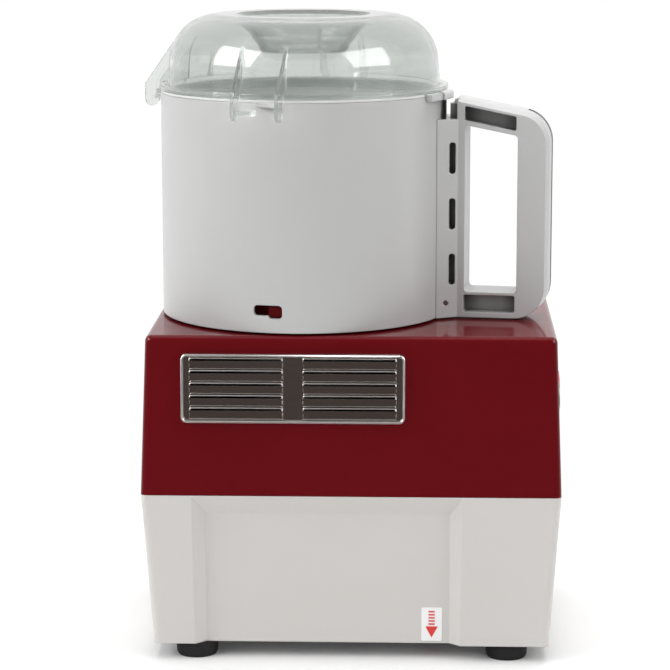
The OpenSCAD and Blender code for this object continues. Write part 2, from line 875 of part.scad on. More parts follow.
module case_screws() {
    shank = case_post_h + lip_h + cover_post_h - 2 * wall;
    color(bright_steel) at_corners(case_post_x, case_post_y) translate([0, 0, parting_z - case_post_h]) {
        translate([0, 0, -case_head_h]) cylinder(h = case_head_h, r = case_head_r, $fn = medium);
        cylinder(h = shank, r = case_screw_r, $fn = coarse);
    }
}

module at_bolts(z) {
    for (i = [0 : hub_post_n - 1]) around(i * full_turn / hub_post_n)
        translate([bolt_at_r, 0, z]) children();
}

// Upper end bell: it hangs from the hub and holds the upper bearing
module motor_flange() {
    color(cast_alloy) difference() {
        union() {
            at_axis(flange_z0) cylinder(h = flange_h, r = flange_plate_r, $fn = fine);
            at_axis(stator_top) tube(stator_r - bell_wall, stator_r, flange_z0 - stator_top + over);
            at_axis(upper_bearing_z - bearing_lip)
                cylinder(h = bearing_h + 2 * bearing_lip, r = bearing_r + bearing_wall, $fn = fine);
            at_bolts(stator_top) cylinder(h = flange_z0 - stator_top + over, r = ear_r, $fn = medium);
        }
        at_axis(upper_bearing_z - bearing_lip - over)
            cylinder(h = bearing_h + bearing_lip + over, r = bearing_r, $fn = fine);
        at_axis(flange_z0) cylinder(h = hub_z, r = shaft_r + bearing_lip, $fn = medium);
        hub_posts() translate([0, 0, -flange_h - over])
            cylinder(h = flange_h + 2 * over, r = case_screw_r + running, $fn = coarse);
        at_bolts(stator_top - over)
            cylinder(h = flange_z0 - stator_top + 2 * over, r = bolt_r + running, $fn = coarse);
    }
}

module lower_end_bell() {
    color(cast_alloy) difference() {
        union() {
            at_axis(lower_bell_z) cylinder(h = flange_h, r = stator_r, $fn = fine);
            at_axis(lower_bell_z) tube(stator_r - bell_wall, stator_r, stator_z - lower_bell_z);
            at_axis(lower_bell_z)
                cylinder(h = bearing_h + bearing_lip, r = bearing_r + bearing_wall, $fn = fine);
            at_bolts(lower_bell_z) cylinder(h = stator_z - lower_bell_z, r = ear_r, $fn = medium);
        }
        at_axis(lower_bearing_z) cylinder(h = bearing_h + over, r = bearing_r, $fn = fine);
        at_axis(lower_bell_z - over) cylinder(h = stator_z, r = shaft_r + bearing_lip, $fn = medium);
        at_bolts(lower_bell_z - over) cylinder(h = stator_z, r = bolt_r + running, $fn = coarse);
    }
}

module stator_core() {
    color(dark_steel) difference() {
        union() {
            at_axis(stator_z) cylinder(h = stator_h, r = stator_r, $fn = fine);
            at_bolts(stator_z) cylinder(h = stator_h, r = ear_r, $fn = medium);
        }
        at_axis(stator_z - over) cylinder(h = stator_h + 2 * over, r = rotor_r + air_gap, $fn = fine);
        at_bolts(stator_z - over) cylinder(h = stator_h + 2 * over, r = bolt_r + running, $fn = coarse);
    }
}

module stator_windings() {
    color(copper) for (z = [stator_z - winding_h, stator_top]) at_axis(z)
        rotate_extrude($fn = fine) translate([stator_r - bell_wall - over - winding_w / 2, winding_h / 2])
            rounded_box_2d(winding_w, winding_h, winding_w / 3);
}

module bearing(z) {
    color(bright_steel) at_axis(z) difference() {
        tube(shaft_r + running, bearing_r, bearing_h);
        for (end = [-fit, bearing_h - over + fit]) translate([0, 0, end])
            tube(shaft_r + bearing_lip, bearing_r - bearing_lip, over);
    }
}

module upper_bearing() {
    bearing(upper_bearing_z);
}

module lower_bearing() {
    bearing(lower_bearing_z);
}

module through_bolts() {
    reach = flange_z0 - lower_bell_z - flange_h;
    color(bright_steel) at_bolts(lower_bell_z) {
        translate([0, 0, -bolt_head_h]) cylinder(h = bolt_head_h, r = bolt_head_r, $fn = medium);
        cylinder(h = reach, r = bolt_r, $fn = coarse);
    }
}

module flange_screws() {
    color(bright_steel) hub_posts() {
        translate([0, 0, -flange_h - case_head_h]) cylinder(h = case_head_h, r = case_head_r, $fn = medium);
        translate([0, 0, -flange_h]) cylinder(h = flange_h + post_h - wall, r = case_screw_r, $fn = coarse);
    }
}

module shaft_seal() {
    color(black_rubber) at_axis(hub_z + hub_collar_h - seal_h) tube(shaft_r + seal_lip, hub_bore_r, seal_h);
}

module run_capacitor() {
    color(bowl_grey) translate([capacitor_at.x, capacitor_at.y, plate_top]) {
        cylinder(h = capacitor_h, r = capacitor_r, $fn = medium);
        for (side = [-1, 1]) translate([side * capacitor_r / 3, 0, capacitor_h])
            cylinder(h = terminal_h / 2, r = standoff_r, $fn = coarse);
    }
}

module capacitor_bracket() {
    color(bright_steel) translate([capacitor_at.x, capacitor_at.y, plate_top]) {
        translate([0, 0, capacitor_h / 2]) tube(capacitor_r + fit, capacitor_r + strap_t, strap_h);
        translate([capacitor_r + fit, -strap_h / 2, 0]) cube([strap_t, strap_h, capacitor_h / 2 + strap_h]);
        translate([capacitor_r + fit, -strap_h / 2, 0]) cube([strap_h, strap_h, strap_t]);
    }
}

module control_board() {
    color(board_green) translate([board_at.x - board_w / 2, board_at.y - board_d / 2 + strap_h, board_z])
        cube([board_w, board_d - strap_h, board_t]);
}

module board_relays() {
    color(black_plastic) for (i = [-1, 0, 1])
        translate([board_at.x + i * board_w / 3 - relay_w / 2, board_at.y - relay_d / 2, board_z + board_t])
            cube([relay_w, relay_d, relay_h]);
}

module board_posts() {
    color(bright_steel) for (sx = [-1, 1], y = [strap_h + standoff_r - board_d / 2, board_d / 2 - standoff_r])
        translate([board_at.x + sx * (board_w / 2 - standoff_r), board_at.y + y, plate_top])
            cylinder(h = board_z - plate_top, r = standoff_r, $fn = coarse);
}

module terminal_block() {
    color(warm_grey) translate([terminal_at.x, terminal_at.y, plate_top]) difference() {
        translate([-terminal_w / 2, -terminal_d / 2, 0]) cube([terminal_w, terminal_d, terminal_h]);
        for (i = [-1, 0, 1]) translate([0, i * terminal_d / 3, terminal_h / 2])
            cylinder(h = terminal_h, r = standoff_r, $fn = coarse);
    }
}

// Children are placed at the cable inlet, with +X pointing into the housing
module at_gland() {
    translate([-half_len_at(gland_z), gland_y, gland_z]) rotate([0, -housing_tilt_x, 0])
        rotate([0, quarter_turn, 0]) children();
}

module cable_gland() {
    flange_in = gland_r - gland_nut / 2;
    color(black_plastic) at_gland() difference() {
        union() {
            translate([0, 0, -gland_out]) cylinder(h = gland_out - gland_nut, r1 = flange_in, r2 = gland_r, $fn = medium);
            translate([0, 0, -gland_nut]) cylinder(h = gland_nut, r = gland_r, $fn = medium);
            cylinder(h = wall + gland_nut, r = flange_in, $fn = medium);
        }
        translate([0, 0, -gland_out - over])
            cylinder(h = gland_out + wall + gland_nut + 2 * over, r = gland_bore_r, $fn = medium);
    }
}

// Children are placed on the cover's control end, with +X pointing out of it
module on_control_face() {
    translate([half_len_at(panel_z), 0, panel_z]) rotate([0, -cover_tilt_x, 0]) children();
}

module at_button(i) {
    on_control_face() translate([0, i * button_pitch, 0]) rotate([0, quarter_turn, 0]) children();
}

module button_openings() {
    for (i = [-1, 0, 1]) at_button(i) translate([0, 0, -button_len])
        cylinder(h = 2 * button_len, r = button_r + button_gap, $fn = medium);
}

module control_panel() {
    color(black_plastic) difference() {
        on_control_face() rotate([quarter_turn, 0, quarter_turn]) linear_extrude(height = panel_t)
            rounded_box_2d(panel_w, panel_h, panel_corner_r);
        button_openings();
    }
}

module button_bezels() {
    color(bright_steel) for (i = [-1, 0, 1]) at_button(i) translate([0, 0, panel_t])
        tube(button_r + button_gap, button_r + bezel_w, bezel_out);
}

module button(i, proud) {
    at_button(i) {
        translate([0, 0, -button_len + panel_t])
            cylinder(h = button_len - 1 + proud, r = button_r, $fn = medium);
        translate([0, 0, panel_t + proud - over]) cylinder(h = over, r1 = button_r, r2 = button_r - over, $fn = medium);
        translate([0, 0, panel_t - button_len - stem_len]) cylinder(h = stem_len, r = stem_r, $fn = coarse);
    }
}

module start_button() {
    color("green") button(-1, button_out);
}

module stop_button() {
    color("red") button(0, stop_out);
}

module pulse_button() {
    color(black_plastic) button(1, button_out);
}

// Contact blocks behind the buttons, held against the inside of the cover by their frames
module switch_blocks() {
    stem_end = button_len + stem_len - panel_t;
    front = wall + seat;
    color(black_plastic) for (i = [-1, 0, 1]) at_button(i) translate([0, 0, -front]) difference() {
        translate([-switch_w / 2, -switch_w / 2, -stem_end - switch_len + front])
            cube([switch_w, switch_w, stem_end + switch_len - front]);
        translate([0, 0, -button_len - button_travel - gap - stem_len + front + panel_t])
            cylinder(h = stem_end + button_len, r = button_r + button_gap, $fn = medium);
        translate([0, 0, -stem_end - button_travel - gap - stem_len + front])
            cylinder(h = stem_end + button_len, r = stem_r + button_gap, $fn = coarse);
    }
}

// Magnetic switch under the cover's top, where the rod ends when the bowl is locked
module interlock_sensor() {
    color(black_plastic) around(rod_a + bowl_turn_deg)
        translate([rod_at_r - sensor_w / 2, -sensor_d / 2, cover_z - wall - sensor_h])
            cube([sensor_w, sensor_d, sensor_h - seat]);
}

module reset_breaker() {
    color(black_plastic) translate([reset_x, reset_y, plate_top]) difference() {
        translate([-reset_body_w / 2, -reset_body_w / 2, 0]) cube([reset_body_w, reset_body_w, reset_body_h]);
        translate([0, 0, -over])
            cylinder(h = reset_len + reset_travel + gap + over, r = reset_r + button_gap, $fn = medium);
    }
}

module reset_button() {
    color("red") translate([reset_x, reset_y, plate_z - reset_len / 2])
        cylinder(h = reset_len + plate_t, r = reset_r, $fn = medium);
}

// Children are placed on the floor of the front recess, with -Y pointing out of it
module on_sticker_face() {
    translate([reset_x, recess_depth - half_dep_at(sticker_z), sticker_z])
        rotate([housing_tilt_y, 0, 0]) children();
}

module sticker_plate() {
    color("white") on_sticker_face() rotate([quarter_turn, 0, 0])
        linear_extrude(height = sticker_t) rounded_box_2d(sticker_w, sticker_h, over);
}

module sticker_arrow() {
    bar_gap = (arrow_h - arrow_head_h - arrow_bars * arrow_bar_t) / arrow_bars;
    color("red") on_sticker_face() translate([0, -sticker_t, 0]) rotate([quarter_turn, 0, 0]) {
        linear_extrude(height = arrow_t) polygon([
            [0, -arrow_h / 2],
            [arrow_w / 2, arrow_head_h - arrow_h / 2],
            [-arrow_w / 2, arrow_head_h - arrow_h / 2]]);
        for (i = [0 : arrow_bars - 1])
            translate([-arrow_shaft_w / 2, arrow_head_h - arrow_h / 2 + bar_gap + i * (bar_gap + arrow_bar_t), 0])
                cube([arrow_shaft_w, arrow_bar_t, arrow_t]);
    }
}

module rotor_shaft() {
    color(bright_steel) {
        at_axis(shaft_low) cylinder(h = shaft_top - drive_len - shaft_low, r = shaft_r, $fn = medium);
        at_axis(shaft_top - drive_len) drive_end(drive_len, 0);
    }
}

// End of the shaft with a flat on each side, which turns the blades
module drive_end(h, grow) {
    intersection() {
        cylinder(h = h, r = drive_r + grow, $fn = medium);
        translate([0, 0, h / 2])
            cube([2 * (drive_r - drive_flat + grow), 2 * shaft_r, h], center = true);
    }
}

module rotor_core() {
    color(dark_steel) at_axis(stator_z) tube(shaft_r + running, rotor_r, stator_h);
}

module cooling_fan() {
    color(black_plastic) at_axis(fan_z) {
        tube(shaft_r + running, fan_hub_r, fan_h);
        translate([0, 0, fan_h - fan_blade_t]) tube(fan_hub_r - over, fan_r, fan_blade_t);
        for (i = [0 : fan_blades - 1]) rotate([0, 0, i * full_turn / fan_blades])
            translate([fan_hub_r - over, -fan_blade_t / 2, 0])
                cube([fan_r - fan_hub_r, fan_blade_t, fan_h]);
    }
}

module blade_hub() {
    color(black_plastic) difference() {
        at_axis(blade_hub_z) {
            cylinder(h = blade_cap_z - blade_hub_z, r = blade_hub_r - blade_taper, $fn = fine);
            cylinder(h = blade_step + blade_low, r = blade_hub_r, $fn = fine);
        }
        at_axis(blade_hub_z - over)
            cylinder(h = blade_roof_z - blade_hub_z + over, r = blade_hub_bore_r, $fn = fine);
        at_axis(blade_roof_z - over) drive_end(shaft_top - blade_roof_z + over + seat, drive_fit);
        for (z = [blade_z, blade_z + blade_step]) blade_seat(z);
    }
}

// The groove that the ring of a blade fills
module blade_seat(z) {
    at_axis(z) tube(blade_hub_r - blade_taper, blade_hub_r + over, blade_t);
}

// A sickle of sharpened sheet on a ring round the hub
module blade(z, a) {
    arc_r = (blade_r + blade_tail) / 2;
    color(bright_steel) difference() {
        union() {
            around(a) translate([0, 0, z]) difference() {
                translate([arc_r - blade_tail, 0, 0]) cylinder(h = blade_t, r = arc_r, $fn = fine);
                translate([arc_r - blade_tail + blade_shift_x, blade_shift_y, -over])
                    cylinder(h = blade_t + 2 * over, r = arc_r - blade_shift_x, $fn = fine);
                translate([-blade_r, -2 * blade_r, -over])
                    cube([3 * blade_r, 2 * blade_r, blade_t + 2 * over]);
            }
            at_axis(z) cylinder(h = blade_t, r = blade_hub_r + blade_taper, $fn = fine);
        }
        at_axis(z - over) cylinder(h = blade_t + 2 * over, r = blade_hub_r - blade_taper + fit, $fn = fine);
    }
}

module lower_blade() {
    blade(blade_z, 0);
}

module upper_blade() {
    blade(blade_z + blade_step, half_turn);
}

module blade_cap() {
    color(black_plastic) at_axis(blade_cap_z) {
        cylinder(h = blade_cap_h / 2, r = blade_hub_r - blade_taper, $fn = fine);
        translate([0, 0, blade_cap_h / 2])
            cylinder(h = blade_cap_h / 2, r1 = blade_hub_r - blade_taper, r2 = blade_cap_r, $fn = fine);
    }
}

module chimney_bush() {
    color("white") difference() {
        at_axis(bush_z) {
            cylinder(h = bush_h, r = chimney_bore_r - running, $fn = fine);
            translate([0, 0, bush_h + fit]) cylinder(h = bush_rim_h - fit, r = bush_rim_r, $fn = fine);
            cylinder(h = bush_h + bush_rim_h, r = chimney_bore_r - running, $fn = fine);
        }
        at_axis(bush_z - over)
            cylinder(h = bush_h + bush_rim_h + 2 * over, r = shaft_r + bush_clear, $fn = fine);
    }
}

// Half section of the bowl, right of its axis
module bowl_section() {
    difference() {
        translate([0, skirt_z]) square([bowl_r, rim_z - skirt_z]);
        translate([-over, skirt_z - over]) square([bowl_in_r + over, floor_z - skirt_z + over]);
        difference() {
            translate([-over, floor_top]) square([bowl_in_r + over, rim_z]);
            difference() {
                translate([bowl_in_r - bowl_fillet, floor_top - over]) square([bowl_fillet + over, bowl_fillet + over]);
                translate([bowl_in_r - bowl_fillet, floor_top + bowl_fillet]) circle(r = bowl_fillet, $fn = medium);
            }
            translate([-over, floor_top - over]) square([chimney_r + over, chimney_h + over]);
        }
        translate([-over, floor_z - over]) square([chimney_bore_r + over, chimney_h + 2 * floor_t]);
    }
}

module bowl() {
    color(bowl_grey) difference() {
        union() {
            at_axis(0) rotate_extrude($fn = fine) bowl_section();
            for (i = [0 : hub_lugs - 1])
                ring_part(hub_r + lock_ledge_in, bowl_in_r + over, lock_ledge_z, lock_ledge_z + lock_ledge_h,
                    hub_lug_a - hub_lug_deg / 2 - lock_side_gap_deg - lock_ledge_deg + i * full_turn / hub_lugs,
                    hub_lug_a - hub_lug_deg / 2 - lock_side_gap_deg + i * full_turn / hub_lugs);
            for (i = [0 : clips - 1]) lid_ramp(clip_a - i * clip_step);
        }
        around(slot_a) translate([bowl_in_r - over, 0, slot_z]) rotate([quarter_turn, 0, quarter_turn]) {
            linear_extrude(height = bowl_wall + 2 * over)
                rounded_box_2d(slot_w, slot_h - slot_step, slot_h / 2 - slot_step);
            translate([slot_w / 4, -slot_step / 2, 0]) linear_extrude(height = bowl_wall + 2 * over)
                rounded_box_2d(slot_w / 2, slot_h, slot_h / 2 - slot_step);
        }
    }
}

// Ramp on the bowl, which a ledge of the lid passes under when the lid is turned
module lid_ramp(a) {
    difference() {
        ring_part(bowl_r - over, ramp_out_r, ramp_z, ramp_z + ramp_t, a + ramp_start_deg, a + ramp_end_deg);
        around(a + ramp_end_deg) translate([bowl_r, 0, ramp_z])
            rotate([-atan(ramp_rise / (ramp_out_r * sin(ramp_end_deg))), 0, 0])
                translate([-bowl_wall, -bowl_r, ramp_rise - ramp_t]) cube([bowl_r, 2 * bowl_r, ramp_t]);
    }
}

// Children are placed in the handle's own plane: X out from the bowl axis, Z up, -Y to the front
module in_handle() {
    around(handle_a) children();
}

// Extrudes an outline drawn as distance and height over a width centred on the handle's plane
module handle_slab(width) {
    rotate([quarter_turn, 0, 0]) linear_extrude(height = width, center = true) children();
}

function arm_line(along) = handle_top_z - (along - spine_in) * tan(arm_slope);
function window_line(along) = window_top - (along - spine_out) * tan(arm_slope);

module handle_outline(inset) {
    rounded([
        [spine_in, handle_z],
        [grip_out - inset, handle_z],
        [grip_out - inset, arm_line(grip_out) - inset],
        [spine_in, arm_line(spine_in) - inset]],
        [over, corner_low_r - inset, corner_top_r - inset, over]);
}

module window_outline() {
    rounded([
        [spine_out, window_z],
        [grip_in, window_z],
        [grip_in, window_line(grip_in)],
        [spine_out, window_line(spine_out)]],
        [window_r, window_r, window_r, window_r]);
}

module top_hollow() {
    rounded([
        [web_x, window_line(web_x) + arm_low_t],
        [grip_in - hollow_end, window_line(grip_in) + arm_low_t],
        [grip_in - hollow_end, arm_line(grip_in) - crown - arm_top_t],
        [web_x, arm_line(web_x) - crown - arm_top_t]],
        [hollow_r, hollow_r, hollow_r, hollow_r]);
}

module bottom_hollow() {
    low = handle_z + bottom_arm_t;
    rounded([
        [web_x, low],
        [grip_in - hollow_end, low],
        [grip_in - hollow_end, low + bottom_hollow_h],
        [web_x, low + bottom_hollow_h]],
        [hollow_r, hollow_r, hollow_r, hollow_r]);
}

// Children are placed at the inner end of each screw in the bracket's slanted sides
module at_handle_screws() {
    for (side = [-1, 1]) translate([screw_along, side * handle_screw_in, screw_z])
        rotate([-side * quarter_turn, 0, 0]) children();
}

module bowl_handle() {
    color(bowl_grey) in_handle() difference() {
        union() {
            difference() {
                hull() {
                    handle_slab(handle_t) handle_outline(crown);
                    handle_slab(crown_mid_w) handle_outline(crown_mid);
                    handle_slab(crown_top_w) handle_outline(0);
                }
                handle_slab(2 * handle_t) window_outline();
                difference() {
                    handle_slab(rim_groove_w) translate([grip_in + rim_groove_in, 0])
                        square([grip_out, 2 * handle_top_z]);
                    handle_slab(2 * handle_t) handle_outline(rim_groove_d);
                }
                for (side = [-1, 1]) translate([0, side * handle_t / 2, 0]) {
                    handle_slab(2 * hollow_depth) top_hollow();
                    handle_slab(2 * hollow_depth) bottom_hollow();
                }
            }
            translate([0, 0, handle_z]) linear_extrude(height = bracket_z - handle_z) polygon([
                [bracket_in, -bracket_half_in],
                [bracket_out, -bracket_half_out],
                [bracket_out, bracket_half_out],
                [bracket_in, bracket_half_in]]);
            translate([top_web_in, -top_web_t / 2, handle_z])
                cube([bracket_out - top_web_in, top_web_t, top_web_z - handle_z]);
            handle_slab(top_plate_w) polygon([
                [top_plate_in, top_web_z],
                [spine_in + over, top_web_z],
                [spine_in + over, arm_line(spine_in) - crown_mid],
                [top_plate_in + over, arm_line(spine_in) - 2 * crown_mid]]);
        }
        translate([0, 0, handle_z - over])
            cylinder(h = bracket_z, r = bowl_r + fit, $fn = fine);
        translate([rod_along, -rod_off, chamber_low])
            cylinder(h = chamber_top - chamber_low, r = chamber_r, $fn = medium);
        for (z = slot_tops) translate([slot_along, -handle_t / 2, z - slot_front_h / 2]) handle_slab(handle_t / 2)
            rounded_box_2d(slot_front_w, slot_front_h, slot_front_w / 2 - fit);
        translate([rod_along, -rod_off, handle_z - over])
            cylinder(h = 2 * bracket_z, r = rod_r + running, $fn = medium);
        translate([rod_along, -rod_off, handle_z - over])
            cylinder(h = magnet_z - handle_z + magnet_h + 2 * over, r = magnet_r + seat, $fn = medium);
        at_handle_screws() cylinder(h = 2 * handle_screw_len, r = handle_screw_r, $fn = coarse);
    }
}

module handle_screws() {
    color(dark_steel) in_handle() at_handle_screws() difference() {
        cylinder(h = handle_screw_len, r = handle_screw_r, $fn = coarse);
        translate([0, 0, handle_screw_len])
            cube([3 * handle_screw_r, handle_screw_r / 2, 2 * over], center = true);
    }
}

module at_rod(z) {
    in_handle() translate([rod_along, -rod_off, z]) children();
}

module interlock_rod() {
    color(dark_steel) {
        at_rod(rod_low_z) cylinder(h = rod_top_z - rod_low_z, r = rod_r, $fn = medium);
        at_rod(collar_z) cylinder(h = collar_h, r = collar_r, $fn = medium);
    }
}

module rod_magnet() {
    color(bright_steel) at_rod(magnet_z) cylinder(h = magnet_h, r = magnet_r, $fn = medium);
}

module rod_spring() {
    color(bright_steel) at_rod(chamber_low + fit) tube(spring_in_r, spring_out_r, collar_z - chamber_low - 2 * fit);
}

module lid_seal() {
    color("white") at_axis(rim_z + seal_gap)
        tube(bowl_in_r + seal_wall_gap, bowl_r - seal_wall_gap, flange_z - rim_z - 2 * seal_gap);
}

// Half section of the dome, smaller than its outside by inset
module dome_section(inset) {
    centre_r = dome_r - shoulder_r;
    polygon([
        [-over, flange_z - over],
        [dome_r + dome_draft - inset, flange_z - over],
        [dome_r - inset, shoulder_z],
        [-over, shoulder_z]]);
    translate([-over, flange_z]) square([centre_r + over, dome_top - flange_z - inset]);
    translate([centre_r, shoulder_z]) intersection() {
        circle(r = shoulder_r - inset, $fn = fine);
        square([shoulder_r, shoulder_r]);
    }
    translate([centre_r - over, flange_z]) square([2 * over, dome_top - flange_z - inset]);
    translate([0, flange_z]) square([dome_r - shoulder_r / 2, dome_straight]);
}

module funnel_section(grow) {
    polygon([
        [-over, dome_top + over],
        [funnel_top_r + over, dome_top + over],
        [funnel_top_r, dome_top],
        [funnel_mid_r + grow, dome_top - funnel_slope_h],
        [funnel_low_r + grow, dome_top - funnel_h - grow],
        [-over, dome_top - funnel_h - grow]]);
}

module lid_section() {
    difference() {
        union() {
            dome_section(0);
            translate([0, flange_z]) square([flange_r, flange_t]);
            translate([0, flange_z - locate_h])
                square([bowl_in_r - locate_gap, locate_h + over]);
        }
        difference() {
            dome_section(dome_wall);
            funnel_section(dome_wall);
        }
        funnel_section(0);
        translate([-over, flange_z - locate_h - over])
            square([bowl_in_r - locate_gap - locate_t + over, locate_h + 2 * over]);
        translate([-over, flange_z]) square([fill_r + over, dome_top]);
    }
}

module lid() {
    color(clear_tint) {
        at_axis(0) rotate_extrude($fn = fine) lid_section();
        for (i = [0 : clips - 1]) lid_clip(clip_a - i * clip_step);
        around(extra_fin_a) fin(0, false);
    }
}

module lid_clip(a) {
    for (side = [-1, 1]) around(a) translate([0, side * clip_half_w, 0]) fin(clip_half_w, true);
    ring_part(bowl_r + 2 * over, clip_out_r - gap, ledge_z, ledge_z + ledge_t,
        a + ledge_start_deg, a + ledge_end_deg);
}

// Distance along a fin at which it meets radius r, for a fin that passes the axis at the given offset
function along_fin(r, offset) = sqrt(pow(r, 2) - pow(offset, 2));

// Upright fin from the dome to the flange, with a rounded lobe that hangs below the flange
module fin(offset, lobe) {
    end = lobe ? clip_out_r : flange_r;
    top_r = dome_r - shoulder_r + sqrt(pow(shoulder_r, 2) - pow(fin_top_z - shoulder_z, 2));
    rotate([quarter_turn, 0, 0]) linear_extrude(height = fin_t, center = true) {
        polygon([
            [along_fin(dome_r - over, offset), flange_z + over],
            [end, flange_z + over],
            [end, fin_tip_z],
            [along_fin(top_r, offset), fin_top_z],
            [along_fin(dome_r - over, offset), shoulder_z]]);
        if (lobe) {
            translate([lobe_in_r, lobe_z]) square([2 * lobe_r, fin_tip_z - lobe_z]);
            translate([clip_out_r - lobe_r, lobe_z]) circle(r = lobe_r, $fn = medium);
        }
    }
}

// Opaque bar under the flange with an upright ear, and a sloped pocket over the end of the rod
module lid_latch() {
    color(bowl_grey) difference() {
        union() {
            ring_part(bar_in_r, bar_out_r, flange_z - bar_h, flange_z, bar_a0, bar_a1);
            around(ear_a0) rotate_extrude(angle = bar_a1 - ear_a0, $fn = fine) {
                translate([ear_in_r, ear_low_z]) square([ear_t, ear_high_z - ear_t / 2 - ear_low_z]);
                translate([ear_in_r + ear_t / 2, ear_high_z - ear_t / 2]) circle(r = ear_t / 2, $fn = coarse);
            }
        }
        cam_pocket();
    }
}

// As the lid turns, the slanted roof of this curved pocket presses the rod down
module cam_pocket() {
    run = rod_at_r * lid_turn_deg * PI / half_turn;
    difference() {
        ring_part(rod_at_r - pocket_half, rod_at_r + pocket_half,
            flange_z - bar_h - over, flange_z - bar_h + pocket_h,
            rod_a - lid_turn_deg - pocket_end_deg, rod_a + pocket_end_deg);
        around(rod_a) translate([rod_at_r - bar_h, -rod_r, flange_z - bar_h + pocket_h])
            rotate([quarter_turn + atan(rod_travel / run), 0, 0])
                cube([2 * bar_h, bar_h, 2 * run]);
    }
}

lower_housing();
motor_cover();
bowl_seat();
vent_louvres();
bottom_plate();
rubber_feet();
foot_screws();
case_screws();
motor_flange();
lower_end_bell();
stator_core();
stator_windings();
upper_bearing();
lower_bearing();
through_bolts();
flange_screws();
shaft_seal();
run_capacitor();
capacitor_bracket();
control_board();
board_relays();
board_posts();
terminal_block();
cable_gland();
control_panel();
button_bezels();
switch_blocks();
interlock_sensor();
reset_breaker();
sticker_plate();
sticker_arrow();
rotor_shaft();
rotor_core();
cooling_fan();
blade_hub();
lower_blade();
upper_blade();
blade_cap();
chimney_bush();
bowl();
bowl_handle();
handle_screws();
interlock_rod();
rod_magnet();
rod_spring();
lid_seal();
lid();
lid_latch();
start_button();
stop_button();
pulse_button();
reset_button();
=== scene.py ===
"""Looks of the food processor: finishes, floor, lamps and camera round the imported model.

Lengths are in metres.
"""

import json
import math

import bpy
from mathutils import Matrix, Vector


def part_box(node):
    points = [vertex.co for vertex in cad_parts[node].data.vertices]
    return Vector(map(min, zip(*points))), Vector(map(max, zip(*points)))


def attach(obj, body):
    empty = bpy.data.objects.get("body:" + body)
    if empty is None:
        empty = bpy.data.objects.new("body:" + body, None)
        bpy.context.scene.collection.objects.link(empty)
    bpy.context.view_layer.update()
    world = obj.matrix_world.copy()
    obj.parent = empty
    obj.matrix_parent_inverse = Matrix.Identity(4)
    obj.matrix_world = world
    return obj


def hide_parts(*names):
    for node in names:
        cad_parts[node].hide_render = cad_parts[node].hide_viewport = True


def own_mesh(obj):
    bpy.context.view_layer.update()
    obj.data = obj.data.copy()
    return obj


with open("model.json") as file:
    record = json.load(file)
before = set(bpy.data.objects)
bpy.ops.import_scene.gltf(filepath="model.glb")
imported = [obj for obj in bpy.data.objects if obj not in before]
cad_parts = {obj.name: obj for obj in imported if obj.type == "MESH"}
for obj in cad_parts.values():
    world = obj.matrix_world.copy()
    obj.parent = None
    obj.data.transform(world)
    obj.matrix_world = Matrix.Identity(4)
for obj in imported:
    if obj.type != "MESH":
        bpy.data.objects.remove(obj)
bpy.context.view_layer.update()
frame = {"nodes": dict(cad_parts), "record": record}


# ---- shader nodes ----


class Shade:
    """A node's output, with the arithmetic that the finishes use."""

    def __init__(self, tree, socket):
        self.tree, self.socket = tree, socket

    def maths(self, operation, *values):
        return node(self.tree, "Math", {"operation": operation}, dict(enumerate(values)))

    def __add__(self, other):
        return self.maths("ADD", self, other)

    def __mul__(self, other):
        return self.maths("MULTIPLY", self, other)

    def __rsub__(self, other):
        return self.maths("SUBTRACT", other, self)

    def __pow__(self, other):
        return self.maths("POWER", self, other)

    def sine(self):
        return self.maths("SINE", self)

    def largest(self, other):
        return self.maths("MAXIMUM", self, other)

    def above(self, low, high):
        """0 below low, 1 above high and smooth between them."""
        settings = {"interpolation_type": "SMOOTHSTEP"}
        limits = {"Value": self, "From Min": low, "From Max": high}
        return node(self.tree, "MapRange", settings, limits)


def node(tree, kind, settings=(), inputs=(), output=0):
    """Adds one node, sets it up and returns one of its outputs, if it has any."""
    made = tree.nodes.new("ShaderNode" + kind)
    for name, value in dict(settings).items():
        setattr(made, name, value)
    for name, value in dict(inputs).items():
        if isinstance(value, Shade):
            tree.links.new(value.socket, made.inputs[name])
        else:
            made.inputs[name].default_value = value
    return Shade(tree, made.outputs[output]) if made.outputs else made


def place(tree, output="Object"):
    return node(tree, "TexCoord", output=output)


def axes(vector):
    return [node(vector.tree, "SeparateXYZ", inputs={0: vector}, output=i) for i in range(3)]


def noise(tree, scale, detail, vector=None):
    at = place(tree) if vector is None else vector
    return node(tree, "TexNoise", inputs={"Vector": at, "Scale": scale, "Detail": detail})


def rays(tree, *kinds):
    """1 for rays of any of the kinds."""
    found = [node(tree, "LightPath", output=f"Is {kind} Ray") for kind in kinds]
    most = found[0]
    for other in found[1:]:
        most = most.largest(other)
    return most


def mirrored_rays(tree):
    """1 for rays that a surface throws back, 0 for those that pass through it."""
    return rays(tree, "Glossy") * (1 - rays(tree, "Transmission"))


def blend(tree, factor, first, second):
    """A colour that goes from first to second."""
    # the Mix node's colour sockets have no names of their own, so they go by number
    fixed = {6: first, 7: second, 0: factor}
    fixed = {k: (*v, 1) if isinstance(v, tuple) else v for k, v in fixed.items()}
    return node(tree, "Mix", {"data_type": "RGBA"}, fixed, output=2)


def scaled(colour, share):
    return tuple(min(1.0, c * share) for c in colour)


def new_tree(name):
    material = bpy.data.materials.new(name)
    material.use_nodes = True
    material.node_tree.nodes.clear()
    return material, material.node_tree


# ---- finishes ----


def bumped(tree, height, depth, edge):
    """Fine relief, on top of edges softened to the radius edge."""
    inputs = {"Height": height, "Distance": depth, "Strength": 1.0}
    if edge:
        inputs["Normal"] = node(tree, "Bevel", {"samples": 6}, {"Radius": edge})
    return node(tree, "Bump", inputs=inputs)


